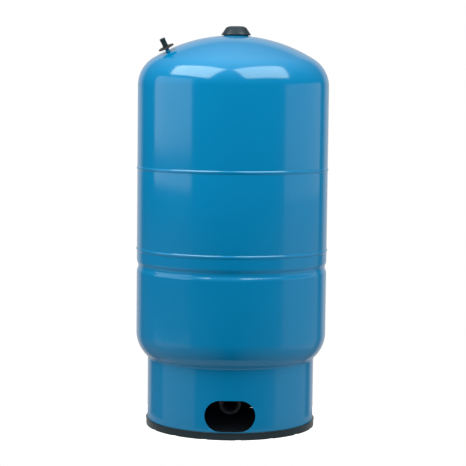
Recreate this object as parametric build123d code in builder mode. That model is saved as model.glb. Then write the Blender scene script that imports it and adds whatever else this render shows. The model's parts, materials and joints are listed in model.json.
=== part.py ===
from build123d import *
import os
from math import acos, asin, atan2, cos, degrees, radians, sin, sqrt, tan

os.makedirs("parts", exist_ok=True)

# A standing well pressure tank. Lengths are in millimetres and angles in degrees. The floor is at
# z = 0, the tank's axis is Z, and the pipe opening in the skirt faces -Y.

# Pressure shell: two drawn dished ends and one rolled shell
body_diameter = 390.5
shell_wall = 1.5
crown_radius = 311.0
knuckle_radius = 66.0
dome_clearance = 90.6
lower_dome_length = 169.7
middle_shell_length = 168.7
upper_dome_length = 166.4

# Lap seams: the shell's ends are stepped inwards and slide into the dished ends
lap_length = 10.0
lap_gap = 0.2
lap_rise = 2.5
seam_root = 1.0
seam_toe = 1.6
seam_crown = 1.3
butt_weld_width = 6.0
butt_weld_crown = 0.7

# Rolled groove that clenches the liner and the diaphragm against the clench ring
groove_depth = 3.0
groove_roll = 14.5
clench_flange = 2.8
clench_wall = 2.0
lap_to_liner = 2.2

# Liner and diaphragm
fit_gap = 0.2
liner_wall = 2.0
diaphragm_wall = 2.5
bead_radius = 2.5
hat_slope_run = 18.0

# Stand skirt and base ring
skirt_inset = 23.95
skirt_wall = 1.5
skirt_weld_leg = 2.2
window_width = 101.0
window_height = 62.8
window_sill = 0.9
ring_web = 3.0
ring_height = 15.0
ring_outer_wall = 2.5
ring_inner_wall = 2.0
ring_inner_height = 10.5
ring_lip = 0.8
ring_lip_height = 2.6
drain_notch_width = 12.0
drain_notch_height = 1.2
drain_notch_count = 16

# Inlet: an elbow with a threaded mouth, its weld, seal and flow diffuser
elbow_pipe_radius = 20.0
elbow_bore_radius = 13.5
elbow_bend_radius = 26.0
inlet_drop = 41.13
mouth_reach = 46.0
mouth_collar_radius = 23.0
mouth_collar_length = 20.0
mouth_thread_radius = 15.9
mouth_thread_length = 19.0
mouth_chamfer = 0.8
spigot_radius = 16.5
spigot_rise = 16.0
inlet_weld_leg = 4.0
inlet_seal_radius = 1.4
diffuser_flange_radius = 32.0
diffuser_flange_height = 4.0
diffuser_wall = 2.5
diffuser_hub_height = 10.0
diffuser_cage_radius = 25.0
diffuser_cage_height = 17.0
diffuser_port_count = 8
diffuser_port_width = 7.0
diffuser_port_height = 8.0

# Top boss and its cap
boss_offset = 4.4
boss_radius = 23.5
boss_rise = 6.2
boss_weld_leg = 3.0
boss_neck_radius = 12.0
boss_neck_rise = 14.5
boss_groove_depth = 0.8
boss_groove_height = 3.0
cap_rim_radius = 30.2
cap_rim_rise = 0.6
cap_rim_height = 1.2
cap_shoulder_radius = 20.7
cap_flat_radius = 15.5
cap_chamfer_drop = 2.5
cap_height = 17.8
cap_wall = 2.0
cap_socket_wall = 1.8
cap_rib_count = 6
cap_rib_width = 1.6

# Air valve on the shoulder, square to the dome
valve_inset = 49.25
valve_azimuth = 26.0
shank_radius = 3.05
shank_gap = 0.05
spud_wall = 1.1
spud_flare = 1.6
spud_height = 9.0
spud_depth = 5.0
spud_weld_leg = 1.8
washer_radius = 16.2
washer_thickness = 2.0
stem_radius = 3.85
stem_length = 14.8
stem_tail = 1.5

# Valve core
pin_radius = 0.55
pin_gap = 0.1
core_chamber_gap = 0.75
core_wall = 0.45
core_thread_wall = 0.9
core_head_height = 3.6
core_bridge_height = 1.0
core_recess = 1.2
core_length = 11.6
core_floor = 1.0
core_bore_gap = 0.35
pin_recess = 0.4
collar_height = 0.6
collar_drop = 4.2
spring_wire_radius = 0.17
spring_pitch = 0.95
disc_height = 0.95
cup_height = 1.2
cup_lip = 0.15
seat_taper_height = 1.6
seat_seal_height = 1.1
running_gap = 0.05

# Valve cap
cap_thread_gap = 0.1
valve_cap_wall = 1.85
valve_cap_lift = 0.3
valve_cap_crown = 2.6
valve_cap_waist = 0.45
valve_cap_chamfer = 0.7
valve_cap_rib_count = 14
valve_cap_rib_radius = 0.55
cap_seal_height = 1.2
cap_seal_gap = 0.1

# Heights and radii that follow from the sizes above
body_radius = body_diameter / 2
knuckle_centre = body_radius - knuckle_radius
dish_angle = degrees(asin(knuckle_centre / (crown_radius - knuckle_radius)))
crown_setback = (crown_radius - knuckle_radius) * cos(radians(dish_angle))
dish_depth = crown_radius - crown_setback
lower_tangent = dome_clearance + dish_depth
lower_seam = lower_tangent + lower_dome_length
upper_seam = lower_seam + middle_shell_length
upper_tangent = upper_seam + upper_dome_length
middle_height = (lower_seam + upper_seam) / 2
apex = upper_tangent + dish_depth
groove_angle = degrees(acos(1 - groove_depth / (2 * groove_roll)))
groove_half_height = 2 * groove_roll * sin(radians(groove_angle))
liner_top = lower_seam - lap_length - lap_to_liner
bead_height = liner_top - bead_radius
clench_top = bead_height - bead_radius - fit_gap
groove_height = clench_top - clench_flange - groove_half_height
clench_bottom = groove_height - groove_half_height - clench_flange
liner_outer = shell_wall + fit_gap
liner_inner = liner_outer + liner_wall
diaphragm_outer = liner_inner + fit_gap
diaphragm_inner = diaphragm_outer + diaphragm_wall
clench_outer = diaphragm_inner + fit_gap
lap_radius = body_radius - shell_wall - lap_gap
lap_shift = shell_wall * tan(atan2(body_radius - lap_radius, lap_rise) / 2)
skirt_radius = body_radius - skirt_inset
skirt_inner = skirt_radius - skirt_wall
window_centre = ring_height + window_sill + window_height / 2
elbow_height = dome_clearance - inlet_drop
valve_tilt = degrees(asin((body_radius - valve_inset) / crown_radius))


def arc(centre, radius, first_angle, last_angle):
    """Draw the arc of a circle that lies between two angles."""
    CenterArc(centre, radius, min(first_angle, last_angle), abs(last_angle - first_angle))


def dish(tangent, side, inset, from_radius=0.0):
    """Draw a dished end from from_radius out to its tangent line, set in from the outer face.

    side is 1 for the upper end and -1 for the lower one.
    """
    crown = crown_radius - inset
    start = 90 - degrees(asin(from_radius / crown))
    knuckle_end = 90 - dish_angle
    arc((0, tangent - side * crown_setback), crown, side * start, side * knuckle_end)
    arc((knuckle_centre, tangent), knuckle_radius - inset, side * knuckle_end, 0)


def dish_height(tangent, side, inset, radius):
    """Return the height of a dished end at a radius within its crown."""
    crown = crown_radius - inset
    return tangent - side * crown_setback + side * sqrt(crown**2 - radius**2)


def grooved_wall(inset, bottom, top):
    """Draw the straight wall from bottom to top, around the rolled groove."""
    radius = body_radius - inset
    roll_centre = body_radius - groove_roll
    Line((radius, bottom), (radius, groove_height - groove_half_height))
    arc((roll_centre, groove_height - groove_half_height), groove_roll - inset, 0, groove_angle)
    arc(
        (body_radius - groove_depth + groove_roll, groove_height),
        groove_roll + inset,
        180 - groove_angle,
        180 + groove_angle,
    )
    arc((roll_centre, groove_height + groove_half_height), groove_roll - inset, -groove_angle, 0)
    Line((radius, groove_height + groove_half_height), (radius, top))


def seam_weld(edge, side):
    """Draw the section of a lap seam's weld, where the dished end's edge faces the stepped shell."""
    step = edge - side * seam_root
    shoulder = step - side * lap_rise
    first = (body_radius, edge + side * seam_toe)
    last = (body_radius, shoulder - side * seam_toe)
    crest = (body_radius + seam_crown, (first[1] + last[1]) / 2)
    Polyline(
        first,
        (body_radius, edge),
        (lap_radius, edge),
        (lap_radius, step),
        (body_radius, shoulder),
        last,
    )
    ThreePointArc(last, crest, first)


# Outer forms of the two dished ends, which fit what is welded to them
with BuildPart() as upper_form:
    with BuildSketch(Plane.XZ):
        with BuildLine():
            dish(upper_tangent, 1, 0)
            Polyline(
                (body_radius, upper_tangent),
                (body_radius, upper_seam),
                (0, upper_seam),
                (0, apex),
            )
        make_face()
    revolve(axis=Axis.Z)

with BuildPart() as lower_form:
    with BuildSketch(Plane.XZ):
        with BuildLine():
            dish(lower_tangent, -1, 0)
            Polyline(
                (body_radius, lower_tangent),
                (body_radius, lower_seam),
                (0, lower_seam),
                (0, dome_clearance),
            )
        make_face()
    revolve(axis=Axis.Z)

# The air valve's own directions: along its axis, and square to it down the dome
valve_direction = Vector(
    -sin(radians(valve_tilt)) * cos(radians(valve_azimuth)),
    -sin(radians(valve_tilt)) * sin(radians(valve_azimuth)),
    cos(radians(valve_tilt)),
)
valve_outward = Vector(
    -cos(radians(valve_tilt)) * cos(radians(valve_azimuth)),
    -cos(radians(valve_tilt)) * sin(radians(valve_azimuth)),
    -sin(radians(valve_tilt)),
)
upper_crown_centre = Vector(0, 0, upper_tangent - crown_setback)
valve_foot = upper_crown_centre + valve_direction * crown_radius
valve_axis = Axis(valve_foot, valve_direction)
valve_section = Plane(valve_foot, x_dir=valve_outward, z_dir=valve_outward.cross(valve_direction))
valve_base = Plane(valve_foot, x_dir=valve_outward, z_dir=valve_direction)
spud_radius = shank_radius + shank_gap + spud_wall
spud_base_radius = spud_radius + spud_flare

# Drawn upper end, with the hole for the air valve
with BuildPart() as upper_dome:
    with BuildSketch(Plane.XZ):
        with BuildLine():
            dish(upper_tangent, 1, 0)
            dish(upper_tangent, 1, shell_wall)
            Line((0, apex), (0, apex - shell_wall))
            Polyline(
                (body_radius, upper_tangent),
                (body_radius, upper_seam),
                (body_radius - shell_wall, upper_seam),
                (body_radius - shell_wall, upper_tangent),
            )
        make_face()
    revolve(axis=Axis.Z)
    with BuildSketch(valve_base):
        Circle(spud_radius + fit_gap)
    extrude(amount=spud_depth, both=True, mode=Mode.SUBTRACT)
upper_dome.part.label = "upper_dome"
export_step(upper_dome.part, "parts/upper_dome.step")

# Rolled shell between the two ends, stepped inwards at both laps
with BuildPart() as middle_shell:
    shoulder_height = upper_seam - seam_root - lap_rise
    with BuildSketch(Plane.XZ):
        with BuildLine():
            Polyline(
                (body_radius, middle_height),
                (body_radius, shoulder_height),
                (lap_radius, upper_seam - seam_root),
                (lap_radius, upper_seam + lap_length),
                (lap_radius - shell_wall, upper_seam + lap_length),
                (lap_radius - shell_wall, upper_seam - seam_root - lap_shift),
                (body_radius - shell_wall, shoulder_height - lap_shift),
                (body_radius - shell_wall, middle_height),
                close=True,
            )
        make_face()
    revolve(axis=Axis.Z)
    mirror(about=Plane.XY.offset(middle_height))
middle_shell.part.label = "middle_shell"
export_step(middle_shell.part, "parts/middle_shell.step")

# Drawn lower end, with the rolled groove and the hole for the inlet
with BuildPart() as lower_dome:
    with BuildSketch(Plane.XZ):
        with BuildLine():
            dish(lower_tangent, -1, 0)
            dish(lower_tangent, -1, shell_wall)
            grooved_wall(0, lower_tangent, lower_seam)
            grooved_wall(shell_wall, lower_tangent, lower_seam)
            Line((0, dome_clearance), (0, dome_clearance + shell_wall))
            Line((body_radius, lower_seam), (body_radius - shell_wall, lower_seam))
        make_face()
    revolve(axis=Axis.Z)
    with BuildSketch(Plane.XY.offset(dome_clearance)):
        Circle(spigot_radius + fit_gap)
    extrude(amount=spigot_rise, both=True, mode=Mode.SUBTRACT)
lower_dome.part.label = "lower_dome"
export_step(lower_dome.part, "parts/lower_dome.step")

# Circumferential welds over the two laps
with BuildPart() as upper_seam_weld:
    with BuildSketch(Plane.XZ):
        with BuildLine():
            seam_weld(upper_seam, 1)
        make_face()
    revolve(axis=Axis.Z)
upper_seam_weld.part.label = "upper_seam_weld"
export_step(upper_seam_weld.part, "parts/upper_seam_weld.step")

with BuildPart() as lower_seam_weld:
    with BuildSketch(Plane.XZ):
        with BuildLine():
            seam_weld(lower_seam, -1)
        make_face()
    revolve(axis=Axis.Z)
lower_seam_weld.part.label = "lower_seam_weld"
export_step(lower_seam_weld.part, "parts/lower_seam_weld.step")

# Upright butt weld that closes the rolled shell, at the back
butt_weld_length = middle_shell_length - 2 * (seam_root + lap_rise + seam_toe + fit_gap)
butt_weld_reach = sqrt(body_radius**2 - (butt_weld_width / 2) ** 2)
with BuildPart() as shell_butt_weld:
    with BuildSketch(Plane.XY.offset(middle_height - butt_weld_length / 2)):
        with BuildLine():
            ThreePointArc(
                (-butt_weld_width / 2, butt_weld_reach),
                (0, body_radius + butt_weld_crown),
                (butt_weld_width / 2, butt_weld_reach),
            )
            ThreePointArc(
                (butt_weld_width / 2, butt_weld_reach),
                (0, body_radius),
                (-butt_weld_width / 2, butt_weld_reach),
            )
        make_face()
    extrude(amount=butt_weld_length)
shell_butt_weld.part.label = "shell_butt_weld"
export_step(shell_butt_weld.part, "parts/shell_butt_weld.step")

# Moulded liner of the water side, from the inlet up to the bead of the diaphragm
with BuildPart() as liner:
    liner_hole = spigot_radius + fit_gap
    with BuildSketch(Plane.XZ):
        with BuildLine():
            dish(lower_tangent, -1, liner_outer, liner_hole)
            dish(lower_tangent, -1, liner_inner, liner_hole)
            Line(
                (liner_hole, dish_height(lower_tangent, -1, liner_outer, liner_hole)),
                (liner_hole, dish_height(lower_tangent, -1, liner_inner, liner_hole)),
            )
            grooved_wall(liner_outer, lower_tangent, liner_top)
            grooved_wall(liner_inner, lower_tangent, liner_top)
            Line((body_radius - liner_outer, liner_top), (body_radius - liner_inner, liner_top))
        make_face()
    revolve(axis=Axis.Z)
liner.part.label = "liner"
export_step(liner.part, "parts/liner.step")

# Flow diffuser, screwed on the elbow's spigot over the liner
flange_bottom = dish_height(lower_tangent, -1, liner_inner, diffuser_flange_radius) + fit_gap
flange_top = flange_bottom + diffuser_flange_height
cage_top = flange_bottom + diffuser_cage_height
hub_inner = spigot_radius + shank_gap
hub_outer = hub_inner + diffuser_wall
cage_inner = diffuser_cage_radius - diffuser_wall
seal_centre_radius = (hub_inner + diffuser_flange_radius) / 2
seal_centre_height = (
    dish_height(lower_tangent, -1, liner_inner, seal_centre_radius) + inlet_seal_radius + running_gap
)
with BuildPart() as flow_diffuser:
    with BuildSketch(Plane.XZ):
        with BuildLine():
            Polyline(
                (hub_inner, flange_bottom),
                (diffuser_flange_radius, flange_bottom),
                (diffuser_flange_radius, flange_top),
                (diffuser_cage_radius, flange_top),
                (diffuser_cage_radius, cage_top),
                (0, cage_top),
                (0, cage_top - diffuser_wall),
                (cage_inner, cage_top - diffuser_wall),
                (cage_inner, flange_top),
                (hub_outer, flange_top),
                (hub_outer, flange_bottom + diffuser_hub_height),
                (hub_inner, flange_bottom + diffuser_hub_height),
                close=True,
            )
        make_face()
    revolve(axis=Axis.Z)
    # Seal groove in the flange's underside
    with BuildSketch(Plane.XY.offset(flange_bottom)):
        Circle(seal_centre_radius + inlet_seal_radius + running_gap)
        Circle(seal_centre_radius - inlet_seal_radius - running_gap, mode=Mode.SUBTRACT)
    extrude(
        amount=seal_centre_height + inlet_seal_radius + running_gap - flange_bottom,
        mode=Mode.SUBTRACT,
    )
    # Ports all round the cage
    with PolarLocations(diffuser_cage_radius, diffuser_port_count):
        with Locations((0, 0, (flange_top + cage_top - diffuser_wall) / 2)):
            Box(
                2 * diffuser_wall + fit_gap,
                diffuser_port_width,
                diffuser_port_height,
                mode=Mode.SUBTRACT,
            )
flow_diffuser.part.label = "flow_diffuser"
export_step(flow_diffuser.part, "parts/flow_diffuser.step")

# Seal between the diffuser's flange and the liner
with BuildPart() as inlet_seal:
    with BuildSketch(Plane.XZ):
        with Locations((seal_centre_radius, seal_centre_height)):
            Circle(inlet_seal_radius)
    revolve(axis=Axis.Z)
inlet_seal.part.label = "inlet_seal"
export_step(inlet_seal.part, "parts/inlet_seal.step")

# Diaphragm, lying on the liner and over the diffuser, with its bead above the clench ring
hat_height = cage_top + fit_gap
hat_radius = diffuser_cage_radius + diaphragm_wall
land_radius = hat_radius + hat_slope_run
with BuildPart() as diaphragm:
    with BuildSketch(Plane.XZ):
        with BuildLine():
            dish(lower_tangent, -1, diaphragm_outer, land_radius)
            dish(lower_tangent, -1, diaphragm_inner, land_radius)
            Polyline(
                (land_radius, dish_height(lower_tangent, -1, diaphragm_outer, land_radius)),
                (hat_radius, hat_height),
                (0, hat_height),
                (0, hat_height + diaphragm_wall),
                (hat_radius, hat_height + diaphragm_wall),
                (land_radius, dish_height(lower_tangent, -1, diaphragm_inner, land_radius)),
            )
            grooved_wall(diaphragm_outer, lower_tangent, bead_height)
            grooved_wall(diaphragm_inner, lower_tangent, bead_height)
            Line(
                (body_radius - diaphragm_outer, bead_height),
                (body_radius - diaphragm_inner, bead_height),
            )
        make_face()
        with Locations((body_radius - diaphragm_outer - bead_radius, bead_height)):
            Circle(bead_radius)
    revolve(axis=Axis.Z)
diaphragm.part.label = "diaphragm"
export_step(diaphragm.part, "parts/diaphragm.step")

# Clench ring behind the groove
with BuildPart() as clench_ring:
    with BuildSketch(Plane.XZ):
        with BuildLine():
            grooved_wall(clench_outer, clench_bottom, clench_top)
            grooved_wall(clench_outer + clench_wall, clench_bottom, clench_top)
            for end in (clench_bottom, clench_top):
                Line(
                    (body_radius - clench_outer, end),
                    (body_radius - clench_outer - clench_wall, end),
                )
        make_face()
    revolve(axis=Axis.Z)
clench_ring.part.label = "clench_ring"
export_step(clench_ring.part, "parts/clench_ring.step")

# Stand skirt: a rolled ring whose upper edge follows the dished end, with the pipe opening in front
skirt_blank_top = lower_tangent
with BuildPart() as stand_skirt:
    with BuildSketch(Plane.XY.offset(ring_web)):
        Circle(skirt_radius)
        Circle(skirt_inner, mode=Mode.SUBTRACT)
    extrude(amount=skirt_blank_top - ring_web)
    add(lower_form.part, mode=Mode.SUBTRACT)
    with BuildSketch(Plane.XZ):
        with Locations((0, window_centre)):
            SlotOverall(window_width, window_height)
    extrude(amount=skirt_radius + skirt_wall, mode=Mode.SUBTRACT)
stand_skirt.part.label = "stand_skirt"
export_step(stand_skirt.part, "parts/stand_skirt.step")

# Height at which the skirt's outer face meets the dished end
skirt_joint = stand_skirt.part.bounding_box().max.Z

# Fillet weld in the corner between the skirt and the dished end
with BuildPart() as skirt_weld:
    with BuildSketch(Plane.XZ):
        with BuildLine():
            Polyline(
                (skirt_radius, skirt_joint - skirt_weld_leg),
                (skirt_radius + skirt_weld_leg, skirt_joint + skirt_weld_leg / 2),
                (skirt_radius + skirt_weld_leg, skirt_joint + 2 * skirt_weld_leg),
                (skirt_radius, skirt_joint + 2 * skirt_weld_leg),
                close=True,
            )
        make_face()
    revolve(axis=Axis.Z)
    add(lower_form.part, mode=Mode.SUBTRACT)
skirt_weld.part.label = "skirt_weld"
export_step(skirt_weld.part, "parts/skirt_weld.step")

# Upright butt weld that closes the rolled skirt, at the back
skirt_butt_length = skirt_joint - skirt_weld_leg - ring_height - 2 * fit_gap
skirt_butt_reach = sqrt(skirt_radius**2 - (butt_weld_width / 2) ** 2)
with BuildPart() as skirt_butt_weld:
    with BuildSketch(Plane.XY.offset(ring_height + fit_gap)):
        with BuildLine():
            ThreePointArc(
                (-butt_weld_width / 2, skirt_butt_reach),
                (0, skirt_radius + butt_weld_crown),
                (butt_weld_width / 2, skirt_butt_reach),
            )
            ThreePointArc(
                (butt_weld_width / 2, skirt_butt_reach),
                (0, skirt_radius),
                (-butt_weld_width / 2, skirt_butt_reach),
            )
        make_face()
    extrude(amount=skirt_butt_length)
skirt_butt_weld.part.label = "skirt_butt_weld"
export_step(skirt_butt_weld.part, "parts/skirt_butt_weld.step")

# Moulded base ring: a channel pushed up on the skirt's edge, with drain notches under its web
ring_outer = skirt_radius + running_gap + ring_outer_wall
ring_inner = skirt_inner - running_gap - ring_inner_wall
with BuildPart() as base_ring:
    with BuildSketch(Plane.XZ):
        with BuildLine():
            Polyline(
                (ring_inner, 0),
                (ring_outer, 0),
                (ring_outer, ring_height - ring_lip_height),
                (ring_outer + ring_lip, ring_height - ring_lip_height + ring_lip),
                (ring_outer + ring_lip, ring_height),
                (skirt_radius + running_gap, ring_height),
                (skirt_radius + running_gap, ring_web),
                (skirt_inner - running_gap, ring_web),
                (skirt_inner - running_gap, ring_inner_height),
                (ring_inner, ring_inner_height),
                close=True,
            )
        make_face()
    revolve(axis=Axis.Z)
    with PolarLocations((ring_inner + ring_outer) / 2, drain_notch_count, start_angle=90 / drain_notch_count):
        Box(
            2 * (ring_outer - ring_inner),
            drain_notch_width,
            2 * drain_notch_height,
            mode=Mode.SUBTRACT,
        )
base_ring.part.label = "base_ring"
export_step(base_ring.part, "parts/base_ring.step")

# Inlet elbow: spigot through the dished end, quarter bend, and a collar with the threaded mouth
bend_top = elbow_height + elbow_bend_radius
spigot_top = dome_clearance + spigot_rise
with BuildPart() as inlet_elbow:
    with BuildLine(Plane.YZ) as elbow_path:
        Line((0, dome_clearance + shell_wall), (0, bend_top))
        CenterArc((-elbow_bend_radius, bend_top), elbow_bend_radius, -90, 90)
        Line((-elbow_bend_radius, elbow_height), (-mouth_reach, elbow_height))
    with BuildSketch(Plane.XY.offset(dome_clearance + shell_wall)):
        Circle(elbow_pipe_radius)
    sweep(path=elbow_path.line)
    add(lower_form.part, mode=Mode.SUBTRACT)
    with BuildSketch(Plane.XY.offset(dome_clearance - shell_wall)):
        Circle(spigot_radius)
    extrude(amount=spigot_rise + shell_wall)
    with BuildSketch(Plane.XZ.offset(mouth_reach)):
        with Locations((0, elbow_height)):
            Circle(mouth_collar_radius)
    extrude(amount=-mouth_collar_length)
    with BuildLine(Plane.YZ) as bore_path:
        Line((0, spigot_top), (0, bend_top))
        CenterArc((-elbow_bend_radius, bend_top), elbow_bend_radius, -90, 90)
        Line((-elbow_bend_radius, elbow_height), (-mouth_reach, elbow_height))
    with BuildSketch(Plane.XY.offset(spigot_top)):
        Circle(elbow_bore_radius)
    sweep(path=bore_path.line, mode=Mode.SUBTRACT)
    with BuildSketch(Plane.XZ.offset(mouth_reach)):
        with Locations((0, elbow_height)):
            Circle(mouth_thread_radius)
    extrude(amount=-mouth_thread_length, mode=Mode.SUBTRACT)
    mouth_edges = inlet_elbow.edges().filter_by(GeomType.CIRCLE).group_by(Axis.Y)[0]
    chamfer(mouth_edges, length=mouth_chamfer)
inlet_elbow.part.label = "inlet_elbow"
export_step(inlet_elbow.part, "parts/inlet_elbow.step")

# Fillet weld between the elbow and the dished end
inlet_joint = dish_height(lower_tangent, -1, 0, elbow_pipe_radius)
with BuildPart() as inlet_weld:
    with BuildSketch(Plane.XZ):
        with BuildLine():
            Polyline(
                (elbow_pipe_radius, inlet_joint - inlet_weld_leg),
                (elbow_pipe_radius + inlet_weld_leg, inlet_joint),
                (elbow_pipe_radius + inlet_weld_leg, inlet_joint + inlet_weld_leg),
                (elbow_pipe_radius, inlet_joint + inlet_weld_leg),
                close=True,
            )
        make_face()
    revolve(axis=Axis.Z)
    add(lower_form.part, mode=Mode.SUBTRACT)
inlet_weld.part.label = "inlet_weld"
export_step(inlet_weld.part, "parts/inlet_weld.step")

# Boss on the crown, with a grooved neck that holds the cap
boss_axis = Axis((boss_offset, 0, 0), (0, 0, 1))
boss_section = Plane((boss_offset, 0, 0), x_dir=(0, 1, 0), z_dir=(1, 0, 0))
boss_top = apex + boss_rise
neck_top = apex + boss_neck_rise
catch_height = (boss_top + neck_top) / 2
with BuildPart() as top_boss:
    with BuildSketch(boss_section):
        with BuildLine():
            Polyline(
                (0, apex - 2 * boss_rise),
                (boss_radius, apex - 2 * boss_rise),
                (boss_radius, boss_top),
                (boss_neck_radius, boss_top),
                (boss_neck_radius, catch_height - boss_groove_height / 2),
                (boss_neck_radius - boss_groove_depth, catch_height - boss_groove_height / 4),
                (boss_neck_radius - boss_groove_depth, catch_height + boss_groove_height / 4),
                (boss_neck_radius, catch_height + boss_groove_height / 2),
                (boss_neck_radius, neck_top),
                (0, neck_top),
                close=True,
            )
        make_face()
    revolve(axis=boss_axis)
    add(upper_form.part, mode=Mode.SUBTRACT)
    chamfer(top_boss.edges().filter_by(GeomType.CIRCLE).group_by(Axis.Z)[-1], length=boss_groove_depth)
top_boss.part.label = "top_boss"
export_step(top_boss.part, "parts/top_boss.step")

with BuildPart() as boss_weld:
    with BuildSketch(boss_section):
        with BuildLine():
            Polyline(
                (0, apex - 2 * boss_rise),
                (boss_radius + boss_weld_leg, apex - 2 * boss_rise),
                (boss_radius + boss_weld_leg, apex - boss_weld_leg),
                (boss_radius, apex + boss_weld_leg / 2),
                (0, apex + boss_weld_leg / 2),
                close=True,
            )
        make_face()
    revolve(axis=boss_axis)
    add(upper_form.part, mode=Mode.SUBTRACT)
    with BuildSketch(Plane.XY.offset(apex - 2 * boss_rise)):
        with Locations((boss_offset, 0)):
            Circle(boss_radius)
    extrude(amount=3 * boss_rise, mode=Mode.SUBTRACT)
boss_weld.part.label = "boss_weld"
export_step(boss_weld.part, "parts/boss_weld.step")

# Moulded top cap: a chamfered cone with a ribbed socket that snaps on the boss's neck
rim_height = apex + cap_rim_rise
cap_top = rim_height + cap_height
cap_slope_base = rim_height + cap_rim_height
cap_shoulder_height = cap_top - cap_chamfer_drop
socket_inner = boss_neck_radius + running_gap
socket_outer = socket_inner + cap_socket_wall
socket_bottom = boss_top + fit_gap
with BuildPart() as top_cap:
    with BuildSketch(boss_section):
        with BuildLine():
            Polyline(
                (0, cap_top),
                (cap_flat_radius, cap_top),
                (cap_shoulder_radius, cap_shoulder_height),
                (cap_rim_radius, cap_slope_base),
                (cap_rim_radius, rim_height),
                (cap_rim_radius - cap_wall, rim_height),
                (cap_rim_radius - cap_wall, cap_slope_base),
                (cap_shoulder_radius - cap_wall, cap_shoulder_height - cap_wall / 2),
                (cap_flat_radius, cap_top - cap_wall),
                (0, cap_top - cap_wall),
                close=True,
            )
        make_face()
    revolve(axis=boss_axis)
    with BuildSketch(Plane.XY.offset(socket_bottom)):
        with Locations((boss_offset, 0)):
            Circle(socket_outer)
            Circle(socket_inner, mode=Mode.SUBTRACT)
    extrude(amount=cap_top - cap_wall - socket_bottom)
    # Ribs that tie the socket to the cone
    with Locations((boss_offset, 0, 0)):
        with PolarLocations((socket_inner + cap_shoulder_radius) / 2, cap_rib_count):
            with Locations((0, 0, (socket_bottom + cap_shoulder_height) / 2)):
                Box(
                    cap_shoulder_radius - socket_inner - cap_socket_wall / 2,
                    cap_rib_width,
                    cap_shoulder_height - socket_bottom,
                )
top_cap.part.label = "top_cap"
export_step(top_cap.part, "parts/top_cap.step")

# Air valve: the steel spud is flared at its foot, and its spigot goes through the dome
with BuildPart() as valve_spud:
    with BuildSketch(valve_section):
        with BuildLine():
            Line((0, -spud_flare), (spud_base_radius, -spud_flare))
            Line((spud_base_radius, -spud_flare), (spud_base_radius, spud_flare / 2))
            ThreePointArc(
                (spud_base_radius, spud_flare / 2),
                (spud_radius + spud_flare * (1 - cos(radians(45))), spud_flare * (1.5 - sin(radians(45)) / 2)),
                (spud_radius, spud_flare * 2),
            )
            Polyline((spud_radius, spud_flare * 2), (spud_radius, spud_height), (0, spud_height))
            Line((0, spud_height), (0, -spud_flare))
        make_face()
    revolve(axis=valve_axis)
    add(upper_form.part, mode=Mode.SUBTRACT)
    with BuildSketch(valve_base.offset(-spud_depth)):
        Circle(spud_radius)
    extrude(amount=spud_depth + spud_flare)
    with BuildSketch(valve_base.offset(-spud_depth)):
        Circle(shank_radius + shank_gap)
    extrude(amount=spud_depth + spud_height, mode=Mode.SUBTRACT)
valve_spud.part.label = "valve_spud"
export_step(valve_spud.part, "parts/valve_spud.step")

with BuildPart() as spud_weld:
    with BuildSketch(valve_section):
        with BuildLine():
            Polyline(
                (spud_base_radius, spud_flare / 2),
                (spud_base_radius + spud_weld_leg, -spud_weld_leg / 2),
                (spud_base_radius + spud_weld_leg, -spud_weld_leg),
                (spud_base_radius, -spud_weld_leg),
                close=True,
            )
        make_face()
    revolve(axis=valve_axis)
    add(upper_form.part, mode=Mode.SUBTRACT)
spud_weld.part.label = "spud_weld"
export_step(spud_weld.part, "parts/spud_weld.step")

# Washer clamped between the spud and the stem's shoulder
stem_shoulder = spud_height + washer_thickness
with BuildPart() as valve_washer:
    with BuildSketch(valve_base.offset(spud_height)):
        Circle(washer_radius)
        Circle(shank_radius + shank_gap, mode=Mode.SUBTRACT)
    extrude(amount=washer_thickness)
    fillet(valve_washer.edges().filter_by(GeomType.CIRCLE).sort_by(SortBy.RADIUS)[-2:], washer_thickness / 4)
valve_washer.part.label = "valve_washer"
export_step(valve_washer.part, "parts/valve_washer.step")

# Radii of the core, from the pin outwards
pin_hole_radius = pin_radius + pin_gap
chamber_radius = pin_radius + core_chamber_gap
barrel_radius = chamber_radius + core_wall
air_bore_radius = barrel_radius + core_bore_gap
core_head_radius = barrel_radius + core_thread_wall

# Heights of the core along the valve's axis, from the stem's rim down
stem_top = stem_shoulder + stem_length
core_top = stem_top - core_recess
core_head_bottom = core_top - core_head_height
core_bottom = core_top - core_length
chamber_floor = core_bottom + core_floor
chamber_ceiling = core_top - core_bridge_height
seat_top = core_head_bottom
seat_bottom = seat_top - seat_taper_height
pin_top = stem_top - pin_recess
collar_bottom = core_top - core_bridge_height - collar_drop
disc_top = core_bottom - running_gap
cup_top = disc_top - disc_height
cup_bottom = cup_top - cup_height
cup_radius = barrel_radius - cup_lip

# Brass stem, bored for the core, with its shank in the spud
with BuildPart() as valve_stem:
    with BuildSketch(valve_section):
        with BuildLine():
            Polyline(
                (air_bore_radius, -spud_depth - stem_tail),
                (shank_radius, -spud_depth - stem_tail),
                (shank_radius, stem_shoulder),
                (stem_radius, stem_shoulder),
                (stem_radius, stem_top),
                (core_head_radius + running_gap, stem_top),
                (core_head_radius + running_gap, seat_top),
                (air_bore_radius, seat_bottom),
                close=True,
            )
        make_face()
    revolve(axis=valve_axis)
valve_stem.part.label = "valve_stem"
export_step(valve_stem.part, "parts/valve_stem.step")

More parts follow.
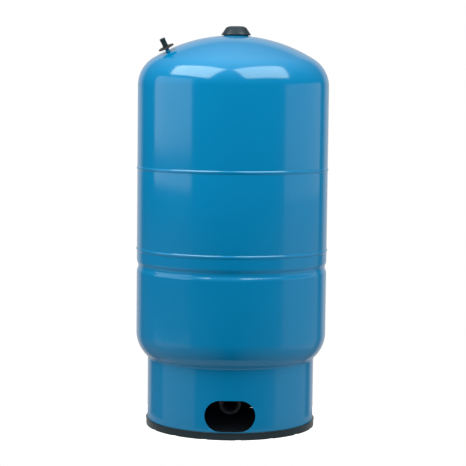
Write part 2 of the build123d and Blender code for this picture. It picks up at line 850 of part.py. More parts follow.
# Core housing: threaded head with a bridge for the pin, barrel, and chamber for the spring
with BuildPart() as core_housing:
    with BuildSketch(valve_section):
        with BuildLine():
            Polyline(
                (pin_hole_radius, core_bottom),
                (barrel_radius, core_bottom),
                (barrel_radius, core_head_bottom),
                (core_head_radius, core_head_bottom),
                (core_head_radius, core_top),
                (pin_hole_radius, core_top),
                (pin_hole_radius, chamber_ceiling),
                (chamber_radius, chamber_ceiling),
                (chamber_radius, chamber_floor),
                (pin_hole_radius, chamber_floor),
                close=True,
            )
        make_face()
    revolve(axis=valve_axis)
    # Wrench flats that leave the bridge standing across the head
    flat_offset = chamber_radius + core_head_radius
    with BuildSketch(valve_base.offset(chamber_ceiling - core_bridge_height)):
        for side in (-1, 1):
            with Locations((0, side * flat_offset)):
                Rectangle(2 * core_head_radius, 2 * core_head_radius)
    extrude(amount=2 * core_bridge_height, mode=Mode.SUBTRACT)
core_housing.part.label = "core_housing"
export_step(core_housing.part, "parts/core_housing.step")

# Tapered seal on the core's barrel, pressed into the stem's seat
seat_taper = (core_head_radius + running_gap - air_bore_radius) / seat_taper_height
seal_top_radius = core_head_radius
seal_bottom_radius = core_head_radius - seat_taper * seat_seal_height
with BuildPart() as core_seal:
    with BuildSketch(valve_section):
        with BuildLine():
            Polyline(
                (barrel_radius, seat_top - seat_seal_height),
                (seal_bottom_radius, seat_top - seat_seal_height),
                (seal_top_radius, seat_top),
                (barrel_radius, seat_top),
                close=True,
            )
        make_face()
    revolve(axis=valve_axis)
core_seal.part.label = "core_seal"
export_step(core_seal.part, "parts/core_seal.step")

# Pin with the collar that the spring lifts, and the cup that holds the seat disc
collar_radius = chamber_radius - pin_gap
with BuildPart() as core_pin:
    with BuildSketch(valve_section):
        with BuildLine():
            Polyline(
                (0, cup_bottom),
                (cup_radius, cup_bottom),
                (cup_radius, cup_top),
                (pin_radius, cup_top),
                (pin_radius, collar_bottom),
                (collar_radius, collar_bottom),
                (collar_radius, collar_bottom + collar_height),
                (pin_radius, collar_bottom + collar_height),
                (pin_radius, pin_top),
                (0, pin_top),
                close=True,
            )
        make_face()
    revolve(axis=valve_axis)
core_pin.part.label = "core_pin"
export_step(core_pin.part, "parts/core_pin.step")

# Rubber seat disc that closes against the end of the barrel
with BuildPart() as seat_disc:
    with BuildSketch(valve_base.offset(cup_top)):
        Circle(cup_radius)
        Circle(pin_radius, mode=Mode.SUBTRACT)
    extrude(amount=disc_height)
seat_disc.part.label = "seat_disc"
export_step(seat_disc.part, "parts/seat_disc.step")

# Spring between the chamber's floor and the pin's collar
spring_radius = (pin_radius + chamber_radius) / 2
spring_bottom = chamber_floor + spring_wire_radius
spring_height = collar_bottom - spring_wire_radius - spring_bottom
with BuildPart() as core_spring:
    with BuildLine() as spring_path:
        Helix(
            pitch=spring_pitch,
            height=spring_height,
            radius=spring_radius,
            center=valve_foot + valve_direction * spring_bottom,
            direction=valve_direction,
        )
    with BuildSketch(Plane(spring_path.line @ 0, z_dir=spring_path.line % 0)):
        Circle(spring_wire_radius)
    sweep(path=spring_path.line, is_frenet=True)
core_spring.part.label = "core_spring"
export_step(core_spring.part, "parts/core_spring.step")

# Seal that the cap carries down on the stem's rim
cap_seal_bottom = stem_top + cap_seal_gap
cap_cavity_top = cap_seal_bottom + cap_seal_height + running_gap
with BuildPart() as cap_seal:
    with BuildSketch(valve_base.offset(cap_seal_bottom)):
        Circle(stem_radius)
    extrude(amount=cap_seal_height)
cap_seal.part.label = "cap_seal"
export_step(cap_seal.part, "parts/cap_seal.step")

# Valve cap: waisted and fluted, with a plain bore that runs on the stem's thread
valve_cap_bottom = stem_shoulder + valve_cap_lift
valve_cap_top = cap_cavity_top + valve_cap_crown
valve_cap_bore = stem_radius + cap_thread_gap
valve_cap_radius = valve_cap_bore + valve_cap_wall
valve_cap_middle = (valve_cap_bottom + valve_cap_top) / 2
with BuildPart() as valve_cap:
    with BuildSketch(valve_section):
        with BuildLine():
            Polyline(
                (valve_cap_radius, valve_cap_bottom),
                (valve_cap_bore, valve_cap_bottom),
                (valve_cap_bore, cap_cavity_top),
                (0, cap_cavity_top),
                (0, valve_cap_top),
                (valve_cap_radius - valve_cap_chamfer, valve_cap_top),
                (valve_cap_radius, valve_cap_top - valve_cap_chamfer),
            )
            ThreePointArc(
                (valve_cap_radius, valve_cap_top - valve_cap_chamfer),
                (valve_cap_radius - valve_cap_waist, valve_cap_middle),
                (valve_cap_radius, valve_cap_bottom),
            )
        make_face()
    revolve(axis=valve_axis)
    # Flutes round the upper half
    with BuildSketch(valve_base.offset(valve_cap_middle)):
        with PolarLocations(valve_cap_radius, valve_cap_rib_count):
            Circle(valve_cap_rib_radius)
    extrude(amount=valve_cap_top - valve_cap_middle, mode=Mode.SUBTRACT)
valve_cap.part.label = "valve_cap"
export_step(valve_cap.part, "parts/valve_cap.step")
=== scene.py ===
"""Looks of a standing well pressure tank: its turned shells, fittings, finishes, light and camera."""

import json
import logging
from dataclasses import dataclass, field
from enum import Enum
from math import acos, asin, ceil, cos, degrees, pi, radians, sin, sqrt
from typing import Callable, Iterable, Optional, Sequence, Union

import bmesh
import bpy
from mathutils import Euler, Matrix, Vector


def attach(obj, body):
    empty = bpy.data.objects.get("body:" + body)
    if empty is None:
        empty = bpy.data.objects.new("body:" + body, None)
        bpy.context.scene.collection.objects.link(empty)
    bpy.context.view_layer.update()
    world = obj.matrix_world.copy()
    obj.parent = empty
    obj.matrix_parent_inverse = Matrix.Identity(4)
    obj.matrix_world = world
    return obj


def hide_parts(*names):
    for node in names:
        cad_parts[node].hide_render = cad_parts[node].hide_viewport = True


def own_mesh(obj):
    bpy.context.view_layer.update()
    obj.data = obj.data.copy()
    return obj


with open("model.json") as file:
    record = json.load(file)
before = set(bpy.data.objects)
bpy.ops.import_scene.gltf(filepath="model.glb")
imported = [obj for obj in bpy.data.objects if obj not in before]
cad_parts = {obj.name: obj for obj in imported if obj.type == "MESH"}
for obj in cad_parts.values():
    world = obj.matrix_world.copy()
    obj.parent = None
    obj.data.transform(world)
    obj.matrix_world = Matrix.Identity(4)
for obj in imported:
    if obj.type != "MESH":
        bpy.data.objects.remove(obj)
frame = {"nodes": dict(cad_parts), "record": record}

logging.basicConfig(level=logging.INFO, format="%(name)s: %(message)s")
log = logging.getLogger("tank")

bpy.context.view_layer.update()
MM = 0.001
FULL_TURN = 2 * pi
MERGE_DISTANCE = 1e-6
# Distances in metres: what counts as one place, as a face without area, and as lying on a cut
MERGE_DISTANCE = 1e-6
SLIVER = 5e-6
CUT_DISTANCE = 1e-7
# Edges sharper than this stay sharp in the shading
CREASE = radians(32)
BORE_STEPS = 64
UP = Vector((0, 0, 1))
RIGHT = Vector((1, 0, 0))
FRONT = Vector((0, -1, 0))

Point = tuple[float, float]
Setting = Union[float, int, str, bool, tuple]
Inputs = dict[Union[str, int], object]
Piece = bpy.types.Object
Socket = bpy.types.NodeSocket


class Body(Enum):
    """The bodies of the frame that new pieces ride on."""

    TANK = "tank"
    VALVE_CAP = "valve_cap"


class Slot(Enum):
    """The record's material slots."""

    ENAMEL = "blue_enamel"
    BLACK_POLYMER = "black_polymer"
    RUBBER = "black_rubber"
    NATURAL_POLYMER = "natural_polymer"
    STAINLESS = "stainless_steel"
    ZINC = "zinc_steel"
    BRASS = "brass"


def linear(code: str) -> tuple[float, float, float, float]:
    """Turn an sRGB hex colour to the linear values that a shader takes.

    Args:
        code: Six hex digits, with or without a leading hash.

    Returns:
        Red, green, blue and an alpha of 1.
    """
    digits = code.lstrip("#")
    channels = [int(digits[i : i + 2], 16) / 255 for i in (0, 2, 4)]
    red, green, blue = (c / 12.92 if c <= 0.04045 else ((c + 0.055) / 1.055) ** 2.4 for c in channels)
    return red, green, blue, 1.0

class Graph:
    """The node tree of a material or of the world, filled node by node."""

    def __init__(self, owner: Union[bpy.types.Material, bpy.types.World]) -> None:
        """Empty the owner's node tree."""
        owner.use_nodes = True
        self.tree = owner.node_tree
        self.tree.nodes.clear()

    def add(self, kind: str, inputs: Optional[Inputs] = None, **settings: Setting) -> bpy.types.NodeOutputs:
        """Add a node with its settings, socket values and links.

        Args:
            kind: The node's type name, without its leading ShaderNode.
            inputs: Values by socket name or number, or output sockets to link from.
            settings: Properties of the node itself.

        Returns:
            The node's output sockets.
        """
        node = self.tree.nodes.new("ShaderNode" + kind)
        for name, value in settings.items():
            setattr(node, name, value)
        for key, value in (inputs or {}).items():
            if isinstance(value, Socket):
                self.tree.links.new(value, node.inputs[key])
            else:
                node.inputs[key].default_value = value
        return node.outputs

    def work_out(self, operation: str, first: object, second: object = 0.0) -> Socket:
        """Do one step of arithmetic on sockets or numbers."""
        return self.add("Math", {0: first, 1: second}, operation=operation)[0]

    def noise(self, size_mm: float, detail: float) -> Socket:
        """Make a cloudy pattern in the object's own coordinates.

        Args:
            size_mm: Real size of one cell, in millimetres.
            detail: How many finer layers lie on it.

        Returns:
            The pattern, from 0 to 1.
        """
        place = self.add("TexCoord")["Object"]
        return self.add("TexNoise", {"Vector": place, "Scale": 1 / (size_mm * MM), "Detail": detail})[0]

    def relief(self, size_mm: float, depth: float, detail: float) -> Socket:
        """Make the normals of a cloudy relief, from its cell size in millimetres and its depth in metres."""
        height = self.noise(size_mm, detail)
        return self.add("Bump", {"Height": height, "Distance": depth, "Strength": 1.0})[0]

    def spread(self, share: Socket, low: float, high: float) -> Socket:
        """Stretch a share from 0 to 1 between two limits."""
        return self.add("MapRange", {"Value": share, "To Min": low, "To Max": high})[0]

    def blend(self, share: Socket, first: str, second: str) -> Socket:
        """Mix two hex colours by the share of the second."""
        return self.add("Mix", {"Factor": share, 6: linear(first), 7: linear(second)}, data_type="RGBA")[2]

    def mirrored_ray(self) -> Socket:
        """Give 1 for rays off a gloss or through glass, and 0 for the others."""
        path = self.add("LightPath")
        return self.work_out("MAXIMUM", path["Is Glossy Ray"], path["Is Transmission Ray"])


@dataclass(frozen=True)
class Finish:
    """A surface finish, drawn by one principled shader."""

    name: str

    def inputs(self, graph: Graph) -> Inputs:
        """Give the shader's values and patterns."""
        raise NotImplementedError

    def build(self) -> bpy.types.Material:
        """Build the material."""
        material = bpy.data.materials.new(self.name)
        graph = Graph(material)
        shader = graph.add("BsdfPrincipled", self.inputs(graph))
        graph.add("OutputMaterial", {"Surface": shader[0]})
        return material


@dataclass(frozen=True)
class BakedEnamel(Finish):
    """Gloss stoving enamel sprayed on drawn steel.

    It gives the eye a deep, even blue under a clear gloss, with a faint orange peel in the reflections.
    """

    name: str = "baked_blue_enamel"
    colour: str = "#0079AA"
    deep_colour: str = "#0073A2"
    drift_mm: float = 160.0
    # Real orange peel is about 1 mm; at 2 mm a pixel it is drawn coarser, to show in the reflections
    peel_mm: float = 5.0
    peel_depth: float = 0.000012
    roughness: float = 0.13
    ior: float = 1.6
    # The paint's red lies below what a screen shows, so the gloss over it is short of red too
    gloss_tint: tuple[float, float, float, float] = (0.75, 0.90, 0.82, 1.0)

    def inputs(self, graph: Graph) -> Inputs:
        """Give the shader's values and patterns."""
        drift = graph.noise(self.drift_mm, detail=2.0)
        return {
            "Base Color": graph.blend(drift, self.colour, self.deep_colour),
            "Roughness": self.roughness,
            "IOR": self.ior,
            "Specular Tint": self.gloss_tint,
            "Normal": graph.relief(self.peel_mm, self.peel_depth, detail=1.0),
        }


@dataclass(frozen=True)
class MouldedPolymer(Finish):
    """Polypropylene, injection moulded in a tool with an eroded texture.

    It gives the eye a soft sheen broken up by a fine grain, lighter where it faces the light.
    """

    colour: str
    worn_colour: str
    roughness: float
    # How far the flow marks make the surface smoother and rougher
    smoother: float = 0.05
    rougher: float = 0.07
    # The real texture is about 0.2 mm, and is drawn at 0.8 mm so that it shows close up
    grain_mm: float = 0.8
    grain_depth: float = 0.00001
    flow_mm: float = 14.0
    subsurface: float = 0.0
    scatter_depth: float = 0.002
    ior: float = 1.49
    # Under 0.5 because the texture's pits hold back part of the gloss
    gloss_level: float = 0.3

    def inputs(self, graph: Graph) -> Inputs:
        """Give the shader's values and patterns."""
        flow = graph.noise(self.flow_mm, detail=3.0)
        return {
            "Base Color": graph.blend(flow, self.colour, self.worn_colour),
            "Roughness": graph.spread(flow, self.roughness - self.smoother, self.roughness + self.rougher),
            "IOR": self.ior,
            "Specular IOR Level": self.gloss_level,
            "Subsurface Weight": self.subsurface,
            "Subsurface Scale": self.scatter_depth,
            "Normal": graph.relief(self.grain_mm, self.grain_depth, detail=2.0),
        }


@dataclass(frozen=True)
class MouldedRubber(Finish):
    """Black rubber, compression moulded.

    It gives the eye a dull near-black with a powdery bloom in patches.
    """

    name: str = "moulded_black_rubber"
    colour: str = "#0E0F10"
    bloom_colour: str = "#1B1D1E"
    bloom_mm: float = 6.0
    pressed_roughness: float = 0.55
    bloom_roughness: float = 0.75
    ior: float = 1.52
    # Real pores are under 0.1 mm, and are drawn at 0.4 mm so that they show close up
    pore_mm: float = 0.4
    pore_depth: float = 0.00001

    def inputs(self, graph: Graph) -> Inputs:
        """Give the shader's values and patterns."""
        bloom = graph.noise(self.bloom_mm, detail=4.0)
        return {
            "Base Color": graph.blend(bloom, self.colour, self.bloom_colour),
            "Roughness": graph.spread(bloom, self.pressed_roughness, self.bloom_roughness),
            "IOR": self.ior,
            "Normal": graph.relief(self.pore_mm, self.pore_depth, detail=2.0),
        }


@dataclass(frozen=True)
class WorkedMetal(Finish):
    """A bare metal whose surface shows how it was made.

    Cast and pickled metal is mottled and pebbled; plated and turned metal is smoother, with a finer relief.
    """

    colour: str
    dull_colour: str
    roughness: float
    mottle_mm: float
    relief_mm: float
    relief_depth: float
    # Share by which the mottle makes the surface smoother and rougher
    swing: float = 0.3

    def inputs(self, graph: Graph) -> Inputs:
        """Give the shader's values and patterns."""
        mottle = graph.noise(self.mottle_mm, detail=4.0)
        smoothest, roughest = self.roughness * (1 - self.swing), self.roughness * (1 + self.swing)
        return {
            "Base Color": graph.blend(mottle, self.colour, self.dull_colour),
            "Metallic": 1.0,
            "Roughness": graph.spread(mottle, smoothest, roughest),
            "Normal": graph.relief(self.relief_mm, self.relief_depth, detail=3.0),
        }


@dataclass
class Finishes:
    """All finishes of the tank, built once each."""

    materials: dict[Slot, bpy.types.Material] = field(default_factory=dict)

    def __post_init__(self) -> None:
        """Build the material of each slot."""
        recipes = {
            Slot.ENAMEL: BakedEnamel(),
            Slot.BLACK_POLYMER: MouldedPolymer("moulded_black_polypropylene", "#18282E", "#1F2E34", 0.24),
            Slot.RUBBER: MouldedRubber(),
            Slot.NATURAL_POLYMER: MouldedPolymer(
                "moulded_natural_polypropylene", "#DCD9CC", "#E6E3D8", roughness=0.35, subsurface=0.25
            ),
            Slot.STAINLESS: WorkedMetal("cast_stainless_steel", "#8F9194", "#7C7E80", 0.42, 9.0, 1.2, 5e-5),
            Slot.ZINC: WorkedMetal("zinc_plated_steel", "#B9BDC2", "#A4A8AE", 0.3, 12.0, 0.8, 1e-5),
            Slot.BRASS: WorkedMetal("turned_brass", "#C9A45C", "#B8934C", 0.25, 3.0, 0.3, 6e-6),
        }
        for slot, recipe in recipes.items():
            self.materials[slot] = recipe.build()

    def dress(self, piece: Piece, slot: Slot) -> None:
        """Give a piece one finish all over.

        Args:
            piece: A new piece or a node of the frame.
            slot: The finish it takes.
        """
        piece.data.materials.clear()
        piece.data.materials.append(self.materials[slot])

    def settle(
        self,
        piece: Piece,
        slot: Slot,
        *nodes: str,
        body: Body = Body.TANK,
        crease: Optional[float] = CREASE,
    ) -> Piece:
        """Finish a new piece: its shading, its mesh's place, its material, its body and its nodes.

        Args:
            piece: The new piece.
            slot: The finish it takes.
            nodes: The nodes that it replaces.
            body: The body it rides on.
            crease: The angle from which an edge is shaded sharp, or None for a piece that is shaded already.

        Returns:
            The piece.
        """
        if crease is not None:
            smooth(piece, crease)
        make_active(piece)
        bpy.ops.object.transform_apply(location=True, rotation=True, scale=True)
        self.dress(piece, slot)
        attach(piece, body.value)
        if nodes:
            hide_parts(*nodes)
        log.info("%s: %d faces, on %s", piece.name, len(piece.data.polygons), body.value)
        return piece


def deselect() -> None:
    """Deselect every object."""
    bpy.ops.object.select_all(action="DESELECT")


def make_active(piece: Piece) -> None:
    """Select one object and make it the active one."""
    deselect()
    piece.select_set(True)
    bpy.context.view_layer.objects.active = piece


def pick_vertices(piece: Piece, test: Callable[[bmesh.types.BMVert], bool]) -> None:
    """Select the vertices in edit mode that pass a test, and nothing else.

    Args:
        piece: The object in edit mode.
        test: Gives true for a vertex to select.
    """
    shape = bmesh.from_edit_mesh(piece.data)
    for group in (shape.verts, shape.edges, shape.faces):
        for element in group:
            element.select = False
    for vertex in shape.verts:
        if test(vertex):
            vertex.select_set(True)
    shape.select_flush_mode()
    bmesh.update_edit_mesh(piece.data)


def apply_modifier(piece: Piece, kind: str, settings: dict[str, Setting]) -> None:
    """Add a modifier to a piece and apply it.

    Args:
        piece: The object in object mode.
        kind: The modifier's type.
        settings: Its properties.
    """
    make_active(piece)
    modifier = piece.modifiers.new(kind.lower(), kind)
    for name, value in settings.items():
        setattr(modifier, name, value)
    bpy.ops.object.modifier_apply(modifier=modifier.name)


def close_and_turn_out() -> None:
    """Merge the doubles of the mesh in edit mode and make its normals point outwards."""
    bpy.ops.mesh.select_all(action="SELECT")
    bpy.ops.mesh.remove_doubles(threshold=MERGE_DISTANCE)
    bpy.ops.mesh.normals_make_consistent(inside=False)


def smooth(piece: Piece, crease: float = CREASE) -> None:
    """Shade a piece smooth, apart from edges sharper than an angle."""
    make_active(piece)
    bpy.ops.object.shade_smooth_by_angle(angle=crease)


def arc(centre: Point, radius: float, start: float, end: float, count: int) -> list[Point]:
    """Give points on the arc of a circle.

    Args:
        centre: The circle's centre, as radius and height.
        radius: The circle's radius.
        start: The first point's angle, in degrees from the outward direction.
        end: The last point's angle.
        count: The number of steps.

    Returns:
        The points from the first to the last.
    """
    angles = [radians(start + (end - start) * i / count) for i in range(count + 1)]
    return [(centre[0] + radius * cos(a), centre[1] + radius * sin(a)) for a in angles]


def bow(radius: float, bulge: float, start: float, end: float, steps: int) -> list[Point]:
    """Give a shallow bow that stands out from a radius half-way between two heights.

    Args:
        radius: The radius at both ends.
        bulge: How far the middle stands out, or in where it is negative.
        start: The first point's height.
        end: The last point's height.
        steps: The number of steps.

    Returns:
        The points from the first to the last.
    """
    middle, half = (start + end) / 2, (end - start) / 2
    shares = [2 * i / steps - 1 for i in range(steps + 1)]
    return [(radius + bulge * (1 - share**2), middle + half * share) for share in shares]


def draw_line(name: str, places: Sequence[Vector]) -> Piece:
    """Draw a line by extruding a single vertex from place to place.

    Args:
        name: The piece's name.
        places: The line's corners.

    Returns:
        The new piece, still in edit mode with its last vertex picked.
    """
    deselect()
    bpy.ops.mesh.primitive_plane_add(size=MM, location=(0, 0, 0))
    piece = bpy.context.object
    piece.name = name
    bpy.ops.object.mode_set(mode="EDIT")
    bpy.ops.mesh.select_mode(type="VERT")
    bpy.ops.mesh.merge(type="CENTER")
    bpy.ops.transform.translate(value=places[0])
    for last, place in zip(places, places[1:]):
        bpy.ops.mesh.extrude_region_move(TRANSFORM_OT_translate={"value": place - last})
    return piece


@dataclass(frozen=True)
class Axle:
    """The line that a turned piece is spun about, with the direction its section is drawn in."""

    foot: Vector
    along: Vector
    outward: Vector

    def at(self, radius: float, height: float) -> Vector:
        """Give the place of a section's point."""
        return self.foot + self.outward * radius + self.along * height

    def stand(self, piece: Piece) -> None:
        """Move a piece that was made upright at the origin onto this axle."""
        aside = self.along.cross(self.outward)
        piece.rotation_euler = Matrix((self.outward, aside, self.along)).transposed().to_euler()
        piece.location = self.foot

    def turn(
        self,
        name: str,
        section: Sequence[Point],
        steps: int,
        closed: bool = True,
        rounded: Optional[dict[float, Iterable[int]]] = None,
        segments: int = 4,
    ) -> Piece:
        """Draw a section by extruding a vertex, round its corners and spin it.

        Args:
            name: The piece's name.
            section: The corners, as radius and height.
            steps: The number of faces round the piece.
            closed: Whether the section is a loop clear of the axle, or runs from the axle back to it.
            rounded: The corners' places in the section, by the radius that rounds them.
            segments: The steps of each rounding.

        Returns:
            The spun piece, in object mode.
        """
        places = [self.at(*corner) for corner in section]
        piece = draw_line(name, places)
        if closed:
            bpy.ops.mesh.extrude_region_move(TRANSFORM_OT_translate={"value": places[0] - places[-1]})
            bpy.ops.mesh.select_all(action="SELECT")
            bpy.ops.mesh.remove_doubles(threshold=MERGE_DISTANCE)
        for radius, numbers in (rounded or {}).items():
            corners = [places[n] for n in numbers]
            pick_vertices(
                piece, lambda v, corners=corners: any((v.co - c).length < MERGE_DISTANCE for c in corners)
            )
            bpy.ops.mesh.bevel(offset=radius, segments=segments, affect="VERTICES", clamp_overlap=True)
        bpy.ops.mesh.select_all(action="SELECT")
        bpy.ops.mesh.spin(
            steps=steps, dupli=False, angle=FULL_TURN, use_auto_merge=True, center=self.foot, axis=self.along
        )
        close_and_turn_out()
        bpy.ops.object.mode_set(mode="OBJECT")
        return piece

    def cylinder(self, name: str, radius: float, low: float, high: float, steps: int = BORE_STEPS) -> Piece:
        """Turn a plain cylinder between two heights on this axle."""
        return self.turn(name, [(0, low), (radius, low), (radius, high), (0, high)], steps, closed=False)


UPRIGHT = Axle(Vector((0, 0, 0)), UP, RIGHT)


def clear_slivers(piece: Piece) -> None:
    """Dissolve the faces without area that a cut or a bevel leaves."""
    make_active(piece)
    bpy.ops.object.mode_set(mode="EDIT")
    bpy.ops.mesh.select_all(action="SELECT")
    bpy.ops.mesh.remove_doubles(threshold=MERGE_DISTANCE)
    bpy.ops.mesh.dissolve_degenerate(threshold=SLIVER)
    bpy.ops.mesh.normals_make_consistent(inside=False)
    bpy.ops.object.mode_set(mode="OBJECT")


def combine(piece: Piece, other: Piece, operation: str) -> None:
    """Join another piece to a piece, or cut it away, and delete the other.

    Args:
        piece: The piece that stays.
        other: The piece that is used up.
        operation: The boolean modifier's operation.
    """
    apply_modifier(piece, "BOOLEAN", {"operation": operation, "solver": "EXACT", "object": other})
    bpy.data.objects.remove(other, do_unlink=True)
    clear_slivers(piece)


def cut_round(
    piece: Piece, count: int, radius: float, first: float, add_cutter: Callable[[float, float, float], None]
) -> None:
    """Cut the same shape out of a piece at equal spacings round the upright axle.

    Args:
        piece: The piece that is cut.
        count: The number of cuts.
        radius: Their distance from the axle.
        first: How far the first is turned from the right side, as a share of a spacing.
        add_cutter: Adds one cutter, from its x, its y and its angle.
    """
    cutters = []
    for i in range(count):
        angle = FULL_TURN * (i + first) / count
        add_cutter(radius * cos(angle), radius * sin(angle), angle)
        cutters.append(bpy.context.object)
    make_active(cutters[0])
    for cutter in cutters[1:]:
        cutter.select_set(True)
    bpy.ops.object.join()
    combine(piece, cutters[0], "DIFFERENCE")


def pierce(piece: Piece, axle: Axle, radius: float, low: float, high: float) -> None:
    """Bore a round hole through a piece.

    Args:
        piece: The piece that gets the hole.
        axle: The hole's axle.
        radius: The hole's radius.
        low: Where the bore starts along the axle.
        high: Where it ends.
    """
    combine(piece, axle.cylinder("bore", radius, low, high), "DIFFERENCE")
    smooth(piece)


@dataclass(frozen=True)
class Thread:
    """An outside screw thread round the upright axle."""

    crest: float
    root: float
    pitch: float
    # Shares of the pitch where the tooth leaves the root, reaches its crest and leaves that
    foot: float = 0.15
    top: float = 0.5
    edge: float = 0.65
    # The winding starts this many pitches under the rod, uneven so that no corner lies on a cut
    lead: float = 1.37
    spare_turns: int = 3
    steps: int = 64

    def wind(self, name: str, low: float, high: float) -> Piece:
        """Wind one tooth up the axle and cut the winding flat at both ends.

        Args:
            name: The piece's name.
            low: Height of the lower end.
            high: Height of the upper end.

        Returns:
            The closed rod, in object mode.
        """
        root, crest = self.root, self.crest
        tooth = [(root, 0), (root, self.foot), (crest, self.top), (crest, self.edge), (root, 1)]
        rod = draw_line(name, [Vector((x, 0, low + (share - self.lead) * self.pitch)) for x, share in tooth])
        bpy.ops.object.mode_set(mode="OBJECT")
        turns = ceil((high - low) / self.pitch) + self.spare_turns
        settings = {"axis": "Z", "angle": FULL_TURN, "screw_offset": self.pitch, "iterations": turns}
        apply_modifier(rod, "SCREW", settings | {"steps": self.steps, "render_steps": self.steps})
        bpy.ops.object.mode_set(mode="EDIT")
        for height, keep_above in ((low, True), (high, False)):
            bpy.ops.mesh.select_all(action="SELECT")
            bpy.ops.mesh.remove_doubles(threshold=MERGE_DISTANCE)
            bpy.ops.mesh.bisect(
                plane_co=(0, 0, height),
                plane_no=UP,
                threshold=CUT_DISTANCE,
                use_fill=True,
                clear_inner=keep_above,
                clear_outer=not keep_above,
            )
        close_and_turn_out()
        bpy.ops.object.mode_set(mode="OBJECT")
        return rod


@dataclass
class DishedEnd:
    """The torispherical form that both ends of the tank share."""

    body_radius: float = 0.19525
    crown_radius: float = 0.311
    knuckle_radius: float = 0.066
    crown_steps: int = 36
    knuckle_steps: int = 28

    def __post_init__(self) -> None:
        """Work out where crown and knuckle meet."""
        self.knuckle_centre = self.body_radius - self.knuckle_radius
        reach = self.crown_radius - self.knuckle_radius
        self.dish_angle = degrees(asin(self.knuckle_centre / reach))
        self.setback = reach * cos(radians(self.dish_angle))
        self.depth = self.crown_radius - self.setback

    def section(self, tangent: float, side: int, inset: float) -> list[Point]:
        """Give the section from the axis out to the tangent line.

        Args:
            tangent: Height of the tangent line.
            side: 1 for the upper end and -1 for the lower one.
            inset: How far the section lies inside the outer face.

        Returns:
            The points, from the axis outwards.
        """
        split = 90 - self.dish_angle
        centre = (0, tangent - side * self.setback)
        crown = arc(centre, self.crown_radius - inset, side * 90, side * split, self.crown_steps)
        centre = (self.knuckle_centre, tangent)
        knuckle = arc(centre, self.knuckle_radius - inset, side * split, 0, self.knuckle_steps)
        crown[0] = (0.0, crown[0][1])
        return crown + knuckle[1:]

    def height(self, tangent: float, side: int, radius: float) -> float:
        """Give the height of the outer face at a radius.

        Args:
            tangent: Height of the tangent line.
            side: 1 for the upper end and -1 for the lower one.
            radius: Distance from the axis.

        Returns:
            The height.
        """
        if radius < self.crown_radius * sin(radians(self.dish_angle)):
            return tangent - side * self.setback + side * sqrt(self.crown_radius**2 - radius**2)
        rise = sqrt(self.knuckle_radius**2 - (radius - self.knuckle_centre) ** 2)
        return tangent + side * rise


